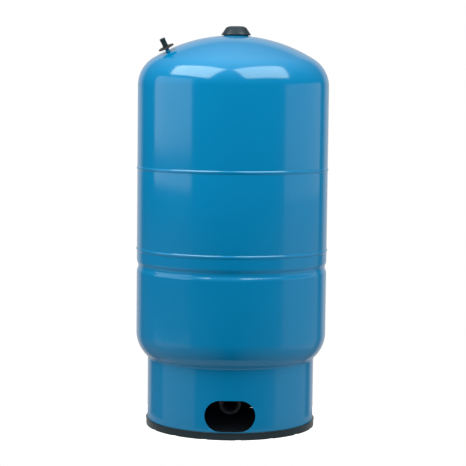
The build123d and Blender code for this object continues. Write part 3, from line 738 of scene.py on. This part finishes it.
@dataclass
class PressureShell:
    """The two drawn ends, the rolled shell between them, and the two seam beads."""

    finishes: Finishes
    dish: DishedEnd = field(default_factory=DishedEnd)
    wall: float = 0.0015
    clearance: float = 0.0906
    lower_length: float = 0.1697
    middle_length: float = 0.1687
    upper_length: float = 0.1664
    lap_length: float = 0.010
    lap_step: float = 0.0017
    lap_rise: float = 0.0025
    lap_round: float = 0.0008
    seam_root: float = 0.001
    seam_toe: float = 0.0016
    seam_crown: float = 0.0013
    crest_steps: int = 12
    groove_depth: float = 0.003
    groove_roll: float = 0.0145
    groove_gap: float = 0.0202
    groove_steps: int = 6
    steps: int = 288

    def __post_init__(self) -> None:
        """Work out the heights of the seams and tangent lines."""
        self.lower_tangent = self.clearance + self.dish.depth
        self.lower_seam = self.lower_tangent + self.lower_length
        self.groove_angle = degrees(acos(1 - self.groove_depth / (2 * self.groove_roll)))
        self.groove_half = 2 * self.groove_roll * sin(radians(self.groove_angle))
        self.groove_height = self.lower_seam - self.groove_gap - self.groove_half
        self.upper_seam = self.lower_seam + self.middle_length
        self.upper_tangent = self.upper_seam + self.upper_length
        self.apex = self.upper_tangent + self.dish.depth

    def groove(self, inset: float) -> list[Point]:
        """Give the section of the rolled groove, from below it to above it.

        Args:
            inset: How far the section lies inside the outer face.

        Returns:
            The points.
        """
        angle, half, steps = self.groove_angle, self.groove_half, self.groove_steps
        edge = self.dish.body_radius - self.groove_roll
        middle = self.dish.body_radius - self.groove_depth + self.groove_roll
        tight, wide = self.groove_roll - inset, self.groove_roll + inset
        lower = arc((edge, self.groove_height - half), tight, 0, angle, steps)
        waist = arc((middle, self.groove_height), wide, 180 + angle, 180 - angle, 2 * steps)
        upper = arc((edge, self.groove_height + half), tight, -angle, 0, steps)
        return lower + waist[1:-1] + upper

    def build_end(self, name: str, node: str, tangent: float, seam: float, side: int) -> Piece:
        """Turn one drawn end, with the groove in the wall of the lower one.

        Args:
            name: The piece's name.
            node: The node that it replaces.
            tangent: Height of the tangent line.
            seam: Height of the edge.
            side: 1 for the upper end and -1 for the lower one.

        Returns:
            The piece.
        """
        outer, inner = (
            self.dish.section(tangent, side, inset) + (self.groove(inset) if side < 0 else [])
            for inset in (0, self.wall)
        )
        rim = [(self.dish.body_radius, seam), (self.dish.body_radius - self.wall, seam)]
        end = UPRIGHT.turn(name, outer + rim + inner[::-1], self.steps, closed=False)
        return self.finishes.settle(end, Slot.ENAMEL, node)

    def build_shell(self) -> None:
        """Turn the rolled shell, stepped inwards at both laps."""
        radius = self.dish.body_radius
        inner = radius - self.lap_step
        bottom, top = self.lower_seam, self.upper_seam
        outside = [
            (inner, bottom - self.lap_length),
            (inner, bottom + self.seam_root),
            (radius, bottom + self.seam_root + self.lap_rise),
            (radius, top - self.seam_root - self.lap_rise),
            (inner, top - self.seam_root),
            (inner, top + self.lap_length),
        ]
        section = outside + [(reach - self.wall, height) for reach, height in reversed(outside)]
        rounded = {self.lap_round: (2, 3)}
        shell = UPRIGHT.turn("rolled_shell", section, self.steps, rounded=rounded, segments=3)
        self.finishes.settle(shell, Slot.ENAMEL, "middle_shell")

    def build_seam(self, name: str, node: str, edge: float, side: int) -> None:
        """Turn the weld bead over one lap of the shell.

        Args:
            name: The piece's name.
            node: The node that it replaces.
            edge: Height of the drawn end's edge.
            side: 1 where the drawn end is above the seam and -1 where it is below.
        """
        radius = self.dish.body_radius
        step = edge - side * self.seam_root
        shoulder = step - side * self.lap_rise
        first, last = edge + side * self.seam_toe, shoulder - side * self.seam_toe
        crest = bow(radius, self.seam_crown, first, last, self.crest_steps)
        inner = radius - self.lap_step
        root = [(radius, shoulder), (inner, step), (inner, edge), (radius, edge)]
        bead = UPRIGHT.turn(name, crest + root, self.steps)
        self.finishes.settle(bead, Slot.ENAMEL, node)

    def build(self) -> None:
        """Build the whole shell."""
        upper, lower = (self.upper_tangent, self.upper_seam, 1), (self.lower_tangent, self.lower_seam, -1)
        self.upper_end = self.build_end("drawn_upper_end", "upper_dome", *upper)
        self.lower_end = self.build_end("drawn_lower_end", "lower_dome", *lower)
        self.build_shell()
        self.build_seam("upper_seam_bead", "upper_seam_weld", self.upper_seam, 1)
        self.build_seam("lower_seam_bead", "lower_seam_weld", self.lower_seam, -1)


@dataclass
class Fitting:
    """A group of pieces that is fixed to the shell."""

    finishes: Finishes
    shell: PressureShell

    def build(self) -> None:
        """Build the group's pieces."""
        raise NotImplementedError


@dataclass
class StandSkirt(Fitting):
    """The rolled skirt with its pipe opening, and the moulded base ring."""

    outer_radius: float = 0.1713
    wall: float = 0.0015
    bottom: float = 0.003
    window_width: float = 0.101
    window_height: float = 0.0628
    window_centre: float = 0.0473
    window_steps: int = 96
    # The cut starts and ends at these shares of the outer radius, in front of the axis
    cut_start: float = 0.7
    cut_end: float = 1.2
    edge_round: float = 0.0007
    edge_angle: float = radians(60)
    ring_outer: float = 0.17385
    ring_inner: float = 0.16775
    ring_height: float = 0.015
    ring_lip: float = 0.0008
    ring_lip_height: float = 0.0026
    ring_inner_height: float = 0.0105
    ring_clearance: float = 0.00005
    ring_round: float = 0.0007
    notch_width: float = 0.012
    notch_height: float = 0.0012
    notch_count: int = 16
    # The first notch lies this share of a spacing past the right side
    notch_turn: float = 0.25
    steps: int = 288

    def window_cutter(self) -> Piece:
        """Shape the long hole's cutter from a circle, pulled apart and extruded forwards."""
        deselect()
        half = (self.window_width - self.window_height) / 2
        bpy.ops.mesh.primitive_circle_add(
            vertices=self.window_steps,
            radius=self.window_height / 2,
            fill_type="NGON",
            location=(0, 0, 0),
            rotation=(pi / 2, 0, 0),
        )
        cutter = bpy.context.object
        bpy.ops.object.transform_apply(location=True, rotation=True, scale=True)
        bpy.ops.object.mode_set(mode="EDIT")
        bpy.ops.mesh.select_mode(type="VERT")
        for side in (-1, 1):
            pick_vertices(cutter, lambda v, side=side: v.co.x * side > MERGE_DISTANCE)
            bpy.ops.transform.translate(value=(side * half, 0, 0))
        bpy.ops.mesh.select_all(action="SELECT")
        bpy.ops.transform.translate(value=(0, -self.outer_radius * self.cut_start, self.window_centre))
        depth = self.outer_radius * (self.cut_end - self.cut_start)
        bpy.ops.mesh.extrude_region_move(TRANSFORM_OT_translate={"value": (0, -depth, 0)})
        close_and_turn_out()
        bpy.ops.object.mode_set(mode="OBJECT")
        return cutter

    def build_skirt(self) -> None:
        """Turn the skirt, cut its opening and round the cut edges."""
        inner = self.outer_radius - self.wall
        dish, tangent = self.shell.dish, self.shell.lower_tangent
        section = [
            (self.outer_radius, self.bottom),
            (self.outer_radius, dish.height(tangent, -1, self.outer_radius)),
            (inner, dish.height(tangent, -1, inner)),
            (inner, self.bottom),
        ]
        skirt = UPRIGHT.turn("rolled_skirt", section, self.steps)
        combine(skirt, self.window_cutter(), "DIFFERENCE")
        apply_modifier(
            skirt,
            "BEVEL",
            {
                "width": self.edge_round,
                "segments": 3,
                "limit_method": "ANGLE",
                "angle_limit": self.edge_angle,
                "loop_slide": False,
            },
        )
        clear_slivers(skirt)
        smooth(skirt)
        apply_modifier(skirt, "WEIGHTED_NORMAL", {"keep_sharp": True, "weight": 90})
        self.finishes.settle(skirt, Slot.ENAMEL, "stand_skirt", crease=None)

    def build_ring(self) -> None:
        """Turn the base ring and cut its drain notches."""
        lip = self.ring_outer + self.ring_lip
        lip_foot = self.ring_height - self.ring_lip_height
        channel_outer = self.outer_radius + self.ring_clearance
        channel_inner = self.outer_radius - self.wall - self.ring_clearance
        section = [
            (self.ring_inner, 0),
            (self.ring_outer, 0),
            (self.ring_outer, lip_foot),
            (lip, lip_foot + self.ring_lip),
            (lip, self.ring_height),
            (channel_outer, self.ring_height),
            (channel_outer, self.bottom),
            (channel_inner, self.bottom),
            (channel_inner, self.ring_inner_height),
            (self.ring_inner, self.ring_inner_height),
        ]
        ring = UPRIGHT.turn(
            "moulded_base_ring", section, self.steps, rounded={self.ring_round: (1, 4, 9)}, segments=3
        )

        def add_notch(x: float, y: float, angle: float) -> None:
            """Add a block that reaches well past both faces of the ring."""
            size = (4 * (self.ring_outer - self.ring_inner), self.notch_width, 2 * self.notch_height)
            bpy.ops.mesh.primitive_cube_add(size=1, location=(x, y, 0), rotation=(0, 0, angle), scale=size)

        middle = (self.ring_inner + self.ring_outer) / 2
        cut_round(ring, self.notch_count, middle, self.notch_turn, add_notch)
        self.finishes.settle(ring, Slot.BLACK_POLYMER, "base_ring")

    def build(self) -> None:
        """Build the skirt and the ring."""
        self.build_skirt()
        self.build_ring()


@dataclass
class TopFitting(Fitting):
    """The moulded cap over the boss."""

    offset: float = 0.0044
    rim_radius: float = 0.0302
    rim_rise: float = 0.0006
    rim_height: float = 0.0012
    shoulder_radius: float = 0.0207
    flat_radius: float = 0.0155
    chamfer_drop: float = 0.0025
    height: float = 0.0178
    wall: float = 0.002
    shoulder_round: float = 0.0006
    rim_round: float = 0.0003
    crease: float = radians(24)
    steps: int = 160

    def build(self) -> None:
        """Turn the cap."""
        base = self.shell.apex + self.rim_rise
        top = base + self.height
        slope = base + self.rim_height
        shoulder = top - self.chamfer_drop
        axle = Axle(Vector((self.offset, 0, 0)), UP, RIGHT)
        section = [
            (0, top),
            (self.flat_radius, top),
            (self.shoulder_radius, shoulder),
            (self.rim_radius, slope),
            (self.rim_radius, base),
            (self.rim_radius - self.wall, base),
            (self.rim_radius - self.wall, slope),
            (self.shoulder_radius - self.wall, shoulder - self.wall / 2),
            (self.flat_radius, top - self.wall),
            (0, top - self.wall),
        ]
        cap = axle.turn(
            "moulded_top_cap",
            section,
            self.steps,
            closed=False,
            rounded={self.shoulder_round: (1, 2), self.rim_round: (3, 4)},
        )
        self.finishes.settle(cap, Slot.BLACK_POLYMER, "top_cap", crease=self.crease)


@dataclass
class AirValve(Fitting):
    """The valve on the shoulder, square to the dished end."""

    inset: float = 0.04925
    azimuth: float = radians(26)
    shank_radius: float = 0.00305
    shank_gap: float = 0.00005
    shank_tail: float = 0.0065
    spud_radius: float = 0.0042
    spud_flare: float = 0.0016
    # Height of the flare's top over the dished end, and how much of that its rounding takes
    flare_top: float = 0.0032
    flare_rise: float = 0.0024
    flare_steps: int = 9
    spud_depth: float = 0.005
    spud_height: float = 0.009
    hole_gap: float = 0.00005
    washer_radius: float = 0.0162
    washer_thickness: float = 0.002
    washer_round: float = 0.0005
    stem_radius: float = 0.00385
    stem_length: float = 0.0148
    thread_pitch: float = 0.000794
    thread_depth: float = 0.00045
    air_bore: float = 0.0021
    head_bore: float = 0.0027
    head_depth: float = 0.0048
    seat_height: float = 0.0016
    cap_radius: float = 0.0058
    cap_bore: float = 0.00395
    cap_lift: float = 0.0003
    cap_cavity: float = 0.00135
    cap_crown: float = 0.0026
    cap_waist: float = 0.00045
    cap_chamfer: float = 0.0007
    cap_waist_steps: int = 12
    edge_round: float = 0.0003
    flute_count: int = 14
    flute_radius: float = 0.00055
    flute_steps: int = 20
    spring_wire: float = 0.00017
    spring_radius: float = 0.000925
    spring_pitch: float = 0.00095
    spring_foot: float = 0.014
    spring_length: float = 0.0054
    wire_steps: int = 12
    coil_steps: int = 32
    pin_stroke: float = 0.0008
    steps: int = 112

    def __post_init__(self) -> None:
        """Work out the valve's axle from the dished end."""
        dish = self.shell.dish
        tilt = asin((dish.body_radius - self.inset) / dish.crown_radius)
        aside = Vector((-cos(self.azimuth), -sin(self.azimuth), 0))
        along = aside * sin(tilt) + UP * cos(tilt)
        outward = aside * cos(tilt) - UP * sin(tilt)
        centre = Vector((0, 0, self.shell.upper_tangent - dish.setback))
        self.axle = Axle(centre + along * dish.crown_radius, along, outward)
        self.shoulder = self.spud_height + self.washer_thickness
        self.stem_top = self.shoulder + self.stem_length

    def build_spud(self) -> None:
        """Turn the flared spud, whose spigot goes through the dished end."""
        crown = self.shell.dish.crown_radius
        bore, neck = self.shank_radius + self.shank_gap, self.spud_radius
        base = neck + self.spud_flare
        flare = []
        for i in range(self.flare_steps + 1):
            angle = pi / 2 * i / self.flare_steps
            flare.append((base - self.spud_flare * sin(angle), self.flare_top - self.flare_rise * cos(angle)))
        section = [
            (bore, -self.spud_depth),
            (neck, -self.spud_depth),
            (neck, sqrt(crown**2 - neck**2) - crown),
            (base, sqrt(crown**2 - base**2) - crown),
            *flare,
            (neck, self.spud_height),
            (bore, self.spud_height),
        ]
        spud = self.axle.turn(
            "turned_valve_spud", section, self.steps, rounded={self.edge_round: (-2,)}, segments=3
        )
        self.finishes.settle(spud, Slot.ENAMEL, "valve_spud")
        pierce(self.shell.upper_end, self.axle, neck + self.hole_gap, -self.spud_depth, self.spud_depth)

    def build_washer(self) -> None:
        """Turn the washer under the valve's shoulder."""
        bore = self.shank_radius + self.shank_gap
        section = [
            (bore, self.spud_height),
            (self.washer_radius, self.spud_height),
            (self.washer_radius, self.shoulder),
            (bore, self.shoulder),
        ]
        washer = self.axle.turn(
            "moulded_valve_washer", section, self.steps, rounded={self.washer_round: (1, 2)}
        )
        self.finishes.settle(washer, Slot.RUBBER, "valve_washer")

    def build_stem(self) -> None:
        """Wind the stem's thread, join the shank to it and bore both."""
        thread = Thread(self.stem_radius, self.stem_radius - self.thread_depth, self.thread_pitch)
        stem = thread.wind("threaded_valve_stem", self.shoulder, self.stem_top)
        overlap = self.shoulder + self.thread_pitch
        combine(stem, UPRIGHT.cylinder("shank", self.shank_radius, -self.shank_tail, overlap), "UNION")
        seat = self.stem_top - self.head_depth
        past = self.stem_top + self.thread_pitch
        bore = [
            (0, -past),
            (self.air_bore, -past),
            (self.air_bore, seat - self.seat_height),
            (self.head_bore, seat),
            (self.head_bore, past),
            (0, past),
        ]
        combine(stem, UPRIGHT.turn("bore", bore, BORE_STEPS, closed=False), "DIFFERENCE")
        self.axle.stand(stem)
        self.finishes.settle(stem, Slot.BRASS, "valve_stem")

    def build_cap(self) -> None:
        """Turn the waisted cap and cut the flutes round its upper half."""
        bottom = self.shoulder + self.cap_lift
        cavity = self.stem_top + self.cap_cavity
        top = cavity + self.cap_crown
        shoulder = top - self.cap_chamfer
        section = [
            (0, top),
            (self.cap_radius - self.cap_chamfer, top),
            *bow(self.cap_radius, -self.cap_waist, shoulder, bottom, self.cap_waist_steps),
            (self.cap_bore, bottom),
            (self.cap_bore, cavity),
            (0, cavity),
        ]
        cap = UPRIGHT.turn(
            "moulded_valve_cap",
            section,
            self.steps,
            closed=False,
            rounded={self.edge_round: (1, 2, -4)},
            segments=3,
        )

        def add_flute(x: float, y: float, angle: float) -> None:
            """Add a cylinder from the cap's middle height to well above its top."""
            bpy.ops.mesh.primitive_cylinder_add(
                vertices=self.flute_steps, radius=self.flute_radius, depth=top - bottom, location=(x, y, top)
            )

        cut_round(cap, self.flute_count, self.cap_radius, 0, add_flute)
        self.axle.stand(cap)
        self.finishes.settle(cap, Slot.BLACK_POLYMER, "valve_cap", body=Body.VALVE_CAP)

    def build_spring(self) -> None:
        """Wind the core's spring from a circle."""
        deselect()
        bpy.ops.mesh.primitive_circle_add(
            vertices=self.wire_steps,
            radius=self.spring_wire,
            location=(self.spring_radius, 0, self.spring_foot + self.spring_wire),
            rotation=(pi / 2, 0, 0),
        )
        spring = bpy.context.object
        spring.name = "wound_core_spring"
        bpy.ops.object.transform_apply(location=True, rotation=True, scale=True)
        climb = self.spring_length - 2 * self.spring_wire
        angle = FULL_TURN * climb / self.spring_pitch
        steps = ceil(self.coil_steps * climb / self.spring_pitch)
        settings = {"axis": "Z", "angle": angle, "screw_offset": climb, "steps": steps, "render_steps": steps}
        apply_modifier(spring, "SCREW", settings)
        bpy.ops.object.mode_set(mode="EDIT")
        bpy.ops.mesh.select_all(action="SELECT")
        bpy.ops.mesh.fill_holes(sides=0)
        close_and_turn_out()
        bpy.ops.object.mode_set(mode="OBJECT")
        self.axle.stand(spring)
        self.finishes.settle(spring, Slot.STAINLESS, "core_spring")
        tuple(self.axle.at(0, self.spring_foot))
        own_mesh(spring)

    def build(self) -> None:
        """Build the valve's pieces."""
        self.build_spud()
        self.build_spring()
        self.build_washer()
        self.build_stem()
        self.build_cap()


@dataclass
class InletFitting(Fitting):
    """The hole for the inlet's spigot and the pipe thread in its mouth."""

    spigot_radius: float = 0.0165
    hole_gap: float = 0.00005
    # How far the bore reaches past the dished end, in walls
    bore_past: float = 4.0
    mouth_reach: float = 0.046
    mouth_height: float = 0.04947
    mouth_radius: float = 0.0159
    mouth_depth: float = 0.019
    thread_pitch: float = 0.002209
    thread_depth: float = 0.0009
    thread_skin: float = 0.0001
    thread_start: float = 0.0011
    steps: int = 96

    def build(self) -> None:
        """Bore the lower end, and wind the mouth's thread out of a sleeve that lines the mouth."""
        reach = self.shell.wall * self.bore_past
        clearance = self.shell.clearance
        radius = self.spigot_radius + self.hole_gap
        pierce(self.shell.lower_end, UPRIGHT, radius, clearance - reach, clearance + reach)
        low, high = -self.mouth_depth, -self.thread_start
        sleeve = UPRIGHT.cylinder("inlet_pipe_thread", self.mouth_radius, low, high, self.steps)
        crest = self.mouth_radius - self.thread_skin
        thread = Thread(crest, crest - self.thread_depth, self.thread_pitch)
        rod = thread.wind("rod", low - self.thread_pitch, high + self.thread_pitch)
        combine(sleeve, rod, "DIFFERENCE")
        mouth = Axle(Vector((0, -self.mouth_reach, self.mouth_height)), FRONT, RIGHT)
        mouth.stand(sleeve)
        self.finishes.settle(sleeve, Slot.STAINLESS)


@dataclass
class CarriedNodes:
    """The nodes of the frame that keep their own shape and only get a finish."""

    finishes: Finishes

    def dress(self) -> None:
        """Give each shown node the finish of its slot in the record."""
        slots = {row["node"]: Slot(row["material_slot"]) for row in frame["record"]["subparts"]}
        for name, node in frame["nodes"].items():
            self.finishes.dress(node, slots[name])
            log.info("%s: carried over, %s", name, "hidden" if node.hide_render else "shown")


def put_in_scene(name: str, data: bpy.types.ID, location: Vector, facing: Matrix, roll: float) -> Piece:
    """Add a lamp or a camera to the scene.

    Args:
        name: The object's name.
        data: The lamp or camera.
        location: Its place.
        facing: Its turn, before it is rolled.
        roll: Its roll about its own axis, in radians.

    Returns:
        The object.
    """
    holder = bpy.data.objects.new(name, data)
    holder.location = location
    holder.rotation_euler = (facing @ Matrix.Rotation(roll, 3, "Z")).to_euler()
    bpy.context.scene.collection.objects.link(holder)
    return holder


def direction(bearing: float, elevation: float) -> Vector:
    """Give the direction that a bearing and an elevation name, in degrees from the camera's side."""
    turn, rise = radians(bearing), radians(elevation)
    return Vector((sin(turn) * cos(rise), -cos(turn) * cos(rise), sin(rise)))


@dataclass(frozen=True)
class SoftBox:
    """One flat studio lamp.

    Its place is a bearing and an elevation in degrees and a distance from the target. The turn, tilt and roll
    take it away from facing the target, where its reflection in the photograph shows that. A lamp that isn't
    mirrored lights the tank without showing in its gloss.
    """

    name: str
    bearing: float
    elevation: float
    distance: float
    width: float
    height: float
    radiance: float
    turn: float = 0.0
    tilt: float = 0.0
    roll: float = 0.0
    mirrored: bool = True

    def build(self, target: Vector) -> None:
        """Add the lamp.

        Args:
            target: The point that its place is counted from.
        """
        away = direction(self.bearing, self.elevation)
        back = direction(self.bearing + self.turn, self.elevation + self.tilt)
        level = UP.cross(back).normalized()
        facing = Matrix((level, back.cross(level), back)).transposed()
        lamp = bpy.data.lights.new(self.name, "AREA")
        lamp.shape = "RECTANGLE"
        lamp.size, lamp.size_y = self.width, self.height
        lamp.energy = self.radiance * pi * self.width * self.height
        location = target + away * self.distance
        holder = put_in_scene(self.name, lamp, location, facing, radians(self.roll))
        holder.visible_glossy = self.mirrored
        log.info("%s: bearing %.0f", self.name, self.bearing)


@dataclass
class Studio:
    """Floor, lamps, world and camera."""

    image_size: int = 466
    focal_pixels: float = 1600.0
    sensor_mm: float = 36.0
    camera_back: float = 3.2862
    camera_side: float = 0.0023
    camera_height: float = 0.682
    camera_pitch: float = 0.0866
    camera_roll: float = 0.0111
    floor_radius: float = 0.26
    floor_corners: int = 96
    paper: str = "#9C9C9C"
    # Light added to the floor for the camera outside the base ring, and the share that the gloss sees
    floor_lift: float = 0.98
    lifted_from: float = 0.1705
    gloss_share: float = 0.15
    ambient_level: float = 0.33
    # The room that the gloss mirrors: level with the tank, low at its sides, growing overhead, and behind it
    room_level: float = 0.035
    side_level: float = 0.9
    ceiling_growth: float = 3.9
    back_level: float = 0.62
    back_from: float = 0.70
    back_full: float = 0.88
    target_height: float = 0.42

    def build_camera(self) -> None:
        """Add the camera at the photograph's place."""
        camera = bpy.data.cameras.new("camera")
        camera.sensor_width = self.sensor_mm
        camera.lens = self.focal_pixels / self.image_size * self.sensor_mm
        location = Vector((self.camera_side, -self.camera_back, self.camera_height))
        facing = Euler((pi / 2 - self.camera_pitch, 0, 0)).to_matrix()
        holder = put_in_scene("camera", camera, location, facing, self.camera_roll)
        bpy.context.scene.camera = holder

    def build_floor(self) -> None:
        """Add the pale floor, which keeps the tank's shadow and is lifted to white for the camera."""
        deselect()
        bpy.ops.mesh.primitive_circle_add(
            vertices=self.floor_corners, radius=self.floor_radius, fill_type="NGON", location=(0, 0, 0)
        )
        floor = bpy.context.object
        floor.name = "floor"
        material = bpy.data.materials.new("pale_studio_paper")
        graph = Graph(material)
        paper = graph.add("BsdfDiffuse", {"Color": linear(self.paper)})[0]
        place = graph.add("TexCoord")["Object"]
        reach = graph.add("VectorMath", {0: place}, operation="LENGTH")["Value"]
        outside = graph.work_out("GREATER_THAN", reach, self.lifted_from)
        gloss = graph.work_out("MULTIPLY", graph.mirrored_ray(), self.gloss_share)
        seen = graph.work_out("MAXIMUM", graph.add("LightPath")["Is Camera Ray"], gloss)
        shown = graph.work_out("MULTIPLY", seen, outside)
        glow = graph.add("Emission", {"Strength": graph.work_out("MULTIPLY", shown, self.floor_lift)})[0]
        both = graph.add("AddShader", {0: paper, 1: glow})[0]
        graph.add("OutputMaterial", {"Surface": both})
        floor.data.materials.append(material)

    def build_world(self) -> None:
        """Make the world white for the camera, bright overhead, pale behind the tank and dim in front."""
        world = bpy.data.worlds.new("studio")
        graph = Graph(world)
        x, y, z = graph.add("SeparateXYZ", {0: graph.add("TexCoord")["Generated"]})
        limits = {"From Min": self.back_from, "From Max": self.back_full, "To Max": self.back_level}
        backdrop = graph.add("MapRange", {"Value": y} | limits, interpolation_type="SMOOTHSTEP")[0]
        growth = graph.work_out("EXPONENT", graph.work_out("MULTIPLY", z, self.ceiling_growth))
        ceiling = graph.work_out("MULTIPLY", growth, self.room_level)
        drop = graph.work_out("MULTIPLY", z, -self.side_level)
        sides = graph.work_out("MULTIPLY", graph.work_out("ABSOLUTE", x), drop)
        room = graph.work_out("MAXIMUM", graph.work_out("MAXIMUM", ceiling, backdrop), sides)
        dull, mirrored, seen = (
            graph.add("Background", {"Color": (1, 1, 1, 1), "Strength": level})[0]
            for level in (self.ambient_level, room, 1.0)
        )
        lit = graph.add("MixShader", {0: graph.mirrored_ray(), 1: dull, 2: mirrored})[0]
        camera = graph.add("LightPath")["Is Camera Ray"]
        choice = graph.add("MixShader", {0: camera, 1: lit, 2: seen})[0]
        graph.add("OutputWorld", {"Surface": choice})
        bpy.context.scene.world = world

    def build_lamps(self) -> None:
        """Add two softboxes high in front, and two and a fill that no gloss shows at each side."""
        target = Vector((0, 0, self.target_height))
        for lamp in (
            SoftBox("high_left_softbox", -63.5, 47.8, 2.0, 1.94, 0.99, 6.5, turn=35.7, tilt=-6.1, roll=-18.5),
            SoftBox("high_right_softbox", 40.4, 49.0, 2.0, 1.76, 1.2, 5.3, turn=8.3, tilt=-9.6, roll=-5.1),
            SoftBox("tall_left_softbox", -75.8, 15.3, 2.2, 2.24, 1.0, 1.25, tilt=-15.3),
            SoftBox("tall_right_softbox", 93.3, 7.3, 2.07, 2.49, 0.54, 0.6, tilt=-7.3),
            SoftBox("low_left_softbox", -75.8, -22.2, 2.3, 2.24, 0.6, 0.3, tilt=22.2),
            SoftBox("low_right_softbox", 93.3, -16.6, 2.14, 2.49, 1.22, 0.28, tilt=16.6),
            SoftBox("left_fill", -70, -18, 2.0, 1.5, 1.5, 0.8, mirrored=False),
            SoftBox("right_fill", 75, -12, 2.0, 1.5, 1.5, 1.5, mirrored=False),
        ):
            lamp.build(target)

    def build(self) -> None:
        """Build the studio."""
        self.build_camera()
        self.build_floor()
        self.build_world()
        self.build_lamps()
        bpy.context.scene.view_settings.view_transform = "Standard"


def main() -> None:
    """Build the tank's pieces in order, dress the rest, and set the studio."""
    finishes = Finishes()
    shell = PressureShell(finishes)
    shell.build()
    for fitting in (StandSkirt, TopFitting, AirValve, InletFitting):
        fitting(finishes, shell).build()
    CarriedNodes(finishes).dress()
    Studio().build()


if __name__ == "__main__":
    main()
